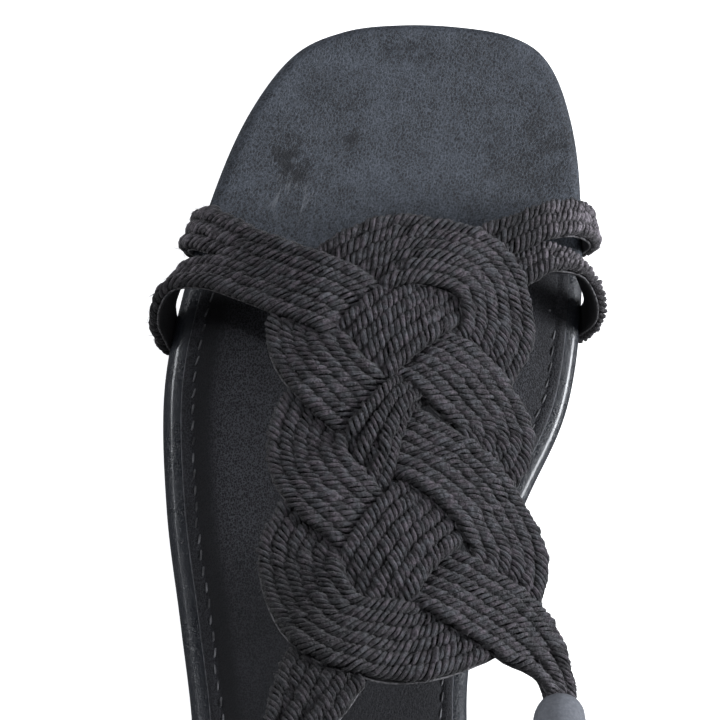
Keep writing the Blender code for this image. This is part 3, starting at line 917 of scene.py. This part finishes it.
def armMiddle(footY, rows):
    # an arm's middle line from under the rim up towards the knot, with its normals and its spread
    side = math.copysign(1, rows[0][0])
    edge, out = rimPlace(footY, side)
    radius = footbed["edge"] + armFoot["clearance"] + armFoot["cordHalf"]
    middle = float(soleHeight(footY)) + footbed["lift"] + footbed["thickness"] / 2
    curl = []
    for angle in np.radians(armFoot["angles"]):
        reach = edge + out * (radius * math.cos(angle) - footbed["edge"])
        curl.append((*reach, middle + radius * math.sin(angle),
                     *(out * math.cos(angle)), math.sin(angle), rows[0][5]))
    for x, y, z, lean, toe, spread in rows:
        lean = math.radians(lean)
        face = unit(np.array([side * math.cos(lean), toe, math.sin(lean)]))
        curl.append((x, y, z, *face, spread))
    return smoothRoute(curl, 1.0)


def joinArms(name, lanes):
    # carry the ribbon's lanes on into its two arms
    step = armFoot["bridgeStep"]
    for ribbonName, firstLane, footY, rows in arms.values():
        if ribbonName != name:
            continue
        middle = armMiddle(footY, rows)
        way = directions(middle[:, :3])
        side = unit(np.cross(way, middle[:, 3:6])) * middle[:, 6:7]
        for k in range(armFoot["cords"]):
            arm = middle[:, :3] + side * (k - 1) * knot["lanePitch"]
            armRows = np.column_stack([arm, middle[:, 3:6], np.ones(len(arm)), np.zeros(len(arm))])
            lane = lanes[firstLane + k]
            lane = lane[np.flatnonzero(np.abs(lane[:, 0]) < armFoot["knotStart"])[0]:]
            bridge = evenSteps(np.vstack([armRows[::step], lane[::step], lane[-1:]]), step)
            lanes[firstLane + k] = evenSteps(smoothRoute(bridge, 1.0), 1.0)
    return lanes


def uneven(count, steps, closed, seed):
    # a smooth random wobble of about one unit
    values = soften(np.random.default_rng(seed).normal(size=count), steps, closed)
    return values / values.std()


def twist(lane, closed, seed):
    # plies wound round one cord's middle line: place, thickness, the cord's normal, middle and level
    even = evenSteps(lane, knot["plyStep"], closed)
    count = len(even)
    way = directions(even[:, :3], closed)
    side = unit(np.cross(way, even[:, 3:6]))
    up = np.cross(side, way)
    length = travelled(np.vstack([even, even[:1]]) if closed else even)
    turns = length[-1] / knot["twistPitch"]
    turns = round(turns) if closed else turns
    angle = knot["twistStart"] * seed + 2 * math.pi * turns * length[:count] / length[-1]
    angle = angle + uneven(count, 8, closed, 900 + seed) * knot["twistWobble"]
    plies = []
    for k in range(knot["plies"]):
        around = angle + k * 2 * math.pi / knot["plies"]
        reach = 1 + uneven(count, 2, closed, 9 * seed + k) * knot["unevenness"]
        across = np.cos(around) * knot["plyAcross"] * reach
        height = np.sin(around) * knot["plyUp"] * reach
        offset = across[:, None] * side + height[:, None] * up
        thickness = even[:, 6] * (1 + uneven(count, 2, closed, 9 * seed + k + 4) * knot["unevenness"])
        plies.append(np.column_stack([even[:, :3] + offset * even[:, 6:7], thickness,
                                      even[:, 3:6], even[:, :3], even[:, 7]]))
    return plies


def markRise(mesh, plies):
    # how far every corner stands out of its cord, 1 at the crest, and how far its cord lies over others;
    # corners of end caps come first
    rows = np.vstack(plies)
    sides = len(mesh.vertices) // len(rows)
    caps = len(mesh.vertices) - sides * len(rows)
    rows = np.repeat(rows, sides, axis=0)
    reach = cornerPlaces(mesh)[caps:] - rows[:, 7:10]
    rise = (reach * rows[:, 4:7]).sum(axis=1) / (knot["plyUp"] + knot["plyThickness"] / 2)
    for label, values in (("rise", rise), ("level", rows[:, 10])):
        keepOn(mesh, label, np.concatenate([np.zeros(caps), values]))


def cordFinish():
    material, place = newMaterial("twistedCord", specular=0.3, sheen=0.12)
    strand = place.node("ShaderNodeTexCoord", output="UV")
    # painted shade: the plies darker away from their crests, in the slits between them
    crest = place.node("ShaderNodeAttribute", {"attribute_name": "rise"}, output="Fac").between(0.35, 1.0)
    fibre = strand.stretched((190.0, 15.0, 1.0)).noise(1.0, 2.0, 0.6).between(0.38, 0.62)
    fuzz = place.noise(1500.0, 2.0, 0.6).between(0.38, 0.62)
    stroke = place.noise(690.0, 2.0, 0.6).between(0.41, 0.60)
    paler = place.noise(60.0, 3.0)
    hue = place.noise(520.0, 1.0).between(0.36, 0.64)
    # painted shade over the lower outer lobe and its tail
    shade = place.spot((-20.0, -22.0, 58.0), (30.0, 34.0, 40.0))
    # painted light: paler cords on the arms, most on the inner ones, and on the inner tail, where the side
    # light falls
    blotches = place.spot((45.0, 74.0, 18.0), (26.0, 24.0, 22.0)) * 1.4
    blotches = blotches + place.spot((-43.0, 66.0, 18.0), (22.0, 24.0, 20.0)) * 0.5
    blotches = blotches + place.spot((36.0, -28.0, 56.0), (13.0, 17.0, 16.0)) * 0.35
    share = (0.22 + crest * 0.78) * (0.06 + fibre * 0.22 + fuzz * 0.24 + stroke * 0.52 + paler * 0.16)
    # painted shade: cords darker where they pass under another ribbon
    level = place.node("ShaderNodeAttribute", {"attribute_name": "level"}, output="Fac").between(-1.0, 0.6)
    share = share * (1 - shade * 0.75) * (0.58 + level * 0.42)
    light = hue.colours((0.112, 0.091, 0.111), (0.090, 0.091, 0.105))
    # the paler colour of the painted light on the arms and tail
    light = blotches.colours(light, (0.350, 0.310, 0.350))
    colour = share.colours((0.0036, 0.0032, 0.0040), light)
    height = fibre * 0.6 + fuzz * 0.6 + stroke * 0.6
    return dressed(material, colour, 0.55 + (1 - fuzz) * 0.25, height.bumps(0.30, 1.0))


def looseFibres(plies, seed):
    # short stray fibres lying along the plies and lifting off them
    chance = np.random.default_rng(seed)
    ways = []
    for _ in range(knot["strays"]):
        ply = plies[chance.integers(len(plies))]
        i = chance.integers(2, len(ply) - 2)
        along = unit(ply[i + 1, :3] - ply[i - 1, :3]) * chance.choice((-1, 1))
        out = unit(unit(np.cross(along, chance.normal(size=3))) + ply[i, 4:7] * 0.9)
        aside = np.cross(along, out) * chance.normal() * 0.5
        length = chance.uniform(*knot["strayLength"])
        start = ply[i, :3] + out * knot["plyThickness"] * 0.42
        bend = start + (along * 0.45 + out * chance.uniform(0.05, 0.25)) * length
        end = bend + (along * 0.40 + out * chance.uniform(-0.1, 0.2) + aside * 0.5) * length
        ways.append(np.column_stack([(start, bend, end), (1.0, 0.9, 0.6)]))
    return ways


def tapeFinish():
    material, place = newMaterial("backingTape", specular=0.3)
    weave = place.noise(2200.0, 2.0)
    colour = weave.colours((0.008, 0.008, 0.009), (0.022, 0.021, 0.023))
    return dressed(material, colour, 0.6 + weave * 0.2, weave.bumps(0.12, 0.6))


def tapeEdgeFinish():
    material, place = newMaterial("tapeEdge", specular=0.4)
    weave = place.noise(1800.0, 3.0)
    colour = weave.between(0.3, 0.7).colours((0.026, 0.025, 0.027), (0.135, 0.130, 0.138))
    return dressed(material, colour, 0.5 + weave * 0.2, weave.bumps(0.1, 0.6))


def tapeColumns(lanes, closed):
    # columns of a backing tape under three lanes, from edge to edge
    count = min(len(lane) for lane in lanes)
    even = []
    for lane in lanes:
        marks = np.linspace(0, len(lane) - 1, count)
        even.append(np.stack([np.interp(marks, np.arange(len(lane)), column) for column in lane.T], axis=1))
    low = [lane[:, :3] - lane[:, 3:6] * knot["tapeDrop"] for lane in even]
    spread = np.linalg.norm(low[-1] - low[0], axis=1, keepdims=True) / (2 * knot["lanePitch"])
    overhang = knot["tapeOverhang"] * np.minimum(spread, 1) ** knot["tapeNarrowing"]
    sideways = unit(low[-1] - low[0]) * overhang
    columns = [low[0] - sideways, *low, low[-1] + sideways]
    places = np.stack(columns, axis=1)[::2]
    if closed:
        places = np.concatenate([places, places[:1]])
    return places


def makeKnot():
    laid = layRibbons()
    cord = cordFinish()
    fuzz = toneFinish("cordFuzz", 0.5, (900.0, 2.0), (0.35, 0.65), *knot["strayColours"])
    tape = tapeFinish()
    edging = tapeEdgeFinish()
    for seed, name in zip((100, 200, 300), ribbonRoutes):
        closed = laid[name]["closed"]
        lanes = joinArms(name, ribbonLanes(laid, name))
        plies = []
        for i, lane in enumerate(lanes):
            plies += twist(lane, closed, seed + i)
        mesh = tubes(plies, knot["plyThickness"], 6, closed)
        markRise(mesh, plies)
        addPiece(name + "Cords", mesh, cord, "upper")
        mesh = tubes(looseFibres(plies, seed), knot["strayThickness"], 4)
        addPiece(name + "Fuzz", mesh, fuzz, "upper")

        edges = []
        half = knot["lanes"] // 2
        for over, label in ((lanes[:half], "TapeA"), (lanes[half:], "TapeB")):
            places = tapeColumns(over, closed)
            shape = gridShape(places)
            if closed:
                bmesh.ops.remove_doubles(shape, verts=shape.verts[:], dist=1e-6)
            faceOut(shape)
            bmesh.ops.solidify(shape, geom=shape.faces[:], thickness=knot["tapeThickness"] * mm)
            addPiece(name + label, finished(shape), tape, "upper")
            for column in (0, -1):
                edge = places[:-1, column] if closed else places[:, column]
                edges.append(np.column_stack([edge, np.ones(len(edge))]))
        if name == armSeam["ribbon"]:
            upper = lanes[armSeam["lane"]][armSeam["first"]:armSeam["last"]]
            lower = lanes[armSeam["lane"] + 1]
            nearest = np.linalg.norm(upper[:, None, :3] - lower[None, :, :3], axis=2).argmin(axis=1)
            seam = (upper + lower[nearest])[:, :3] / 2 + upper[:, 3:6] * armSeam["rise"]
            edges.append(np.column_stack([seam, np.full(len(seam), armSeam["share"])]))
        mesh = tubes(edges, knot["edgeThickness"], 6, closed)
        addPiece(name + "TapeEdges", mesh, edging, "upper")
        print(name, "ribbon made", len(plies), "plies")
    return laid


laidRibbons = makeKnot()


# Ankle tie: a soft leather tube from the inner tail round behind the ankle to the outer tail

tie = {
    "radius": 5.35, "sides": 40, "step": 0.6, "seamDepth": 0.07, "seamWidth": 0.10,
    "overlap": 2.5, "lead": 3.5,       # how far it takes in a tail's end, and runs straight on from it
    "fineEnd": 5.0, "thinning": 3,     # full detail this near a mouth, then one ring of three
    "ankle": (0.0, -70.0, 60.0),       # the seam runs along the side that faces this place
    # rounded shoulder at each mouth: length along the tube, share of the radius
    "shoulder": ((-2.5, 0.66), (-2.2, 0.72), (-1.6, 0.80), (-0.6, 0.89), (0.8, 0.96), (2.4, 0.995),
                 (4.0, 1.0)),
    "route": (
        (36.3, -45.0, 64.0), (38.3, -62.0, 74.0), (37.0, -81.0, 83.0), (29.0, -98.0, 89.5),
        (15.0, -109.0, 92.5), (-1.5, -112.5, 93.4), (-18.0, -109.0, 92.6), (-31.0, -98.0, 90.0),
        (-36.6, -83.5, 86.0), (-33.0, -69.5, 80.2), (-27.2, -58.8, 74.4),
    ),
}


def tieLeather():
    material, place = newMaterial("tieLeather", specular=0.4)
    grain = (1 - place.cells(1700.0, "SMOOTH_F1")) * 0.5 + place.noise(2600.0, 3.0, 0.6) * 0.5
    mottle = place.noise(80.0, 4.0, 0.55)
    share = grain.between(0.3, 0.9) * 0.4 + mottle * 0.6
    colour = share.colours((0.080, 0.084, 0.096), (0.213, 0.223, 0.252))
    folds = place.stretched((260.0, 130.0, 200.0)).noise(1.0, 3.0, 0.6)
    return dressed(material, colour, 0.5 + mottle * 0.12, (grain + folds * 3.0).bumps(0.14, 0.6))


def tailEnd(name):
    # where a ribbon's tail stops, and the way it points there
    plan = laidRibbons[name]["plan"]
    places = np.column_stack([plan, knotHeight(plan[:, 0], plan[:, 1])])
    return places[-1], unit(places[-1] - places[-4])


def makeTie():
    innerEnd, innerWay = tailEnd("inner")
    outerEnd, outerWay = tailEnd("outer")
    overlap, lead = tie["overlap"], tie["lead"]
    rows = [innerEnd - innerWay * overlap, innerEnd, innerEnd + innerWay * lead, *np.array(tie["route"]),
            outerEnd + outerWay * lead, outerEnd, outerEnd - outerWay * overlap]
    middle = evenSteps(smoothRoute(rows, 1.0), tie["step"])
    length = travelled(middle) - overlap
    fromEnd = np.minimum(length, length[-1] - overlap - length)
    marks, shares = np.array(tie["shoulder"]).T
    radius = tie["radius"] * np.interp(fromEnd, marks, shares)
    keep = (np.arange(len(middle)) % tie["thinning"] == 0) | (fromEnd < tie["fineEnd"])
    middle, radius = middle[keep], radius[keep]

    way = directions(middle)
    inwards = unit(np.array(tie["ankle"]) - middle)
    side = unit(np.cross(way, inwards))
    up = np.cross(side, way)
    angles = np.linspace(0, 2 * math.pi, tie["sides"] + 1)
    seam = 1 - tie["seamDepth"] * np.exp(-((angles - math.pi) / tie["seamWidth"]) ** 2)
    ring = np.sin(angles)[None, :, None] * side[:, None] - np.cos(angles)[None, :, None] * up[:, None]
    places = middle[:, None] + ring * (radius[:, None] * seam[None])[..., None]
    shape = gridShape(places)
    bmesh.ops.remove_doubles(shape, verts=shape.verts[:], dist=1e-7)
    mouths = [edge for edge in shape.edges if edge.is_boundary]
    bmesh.ops.holes_fill(shape, edges=mouths, sides=0)
    piece = addPiece("ankleTie", finished(shape), tieLeather(), "ankle_tie")


makeTie()
print("ankle tie made")
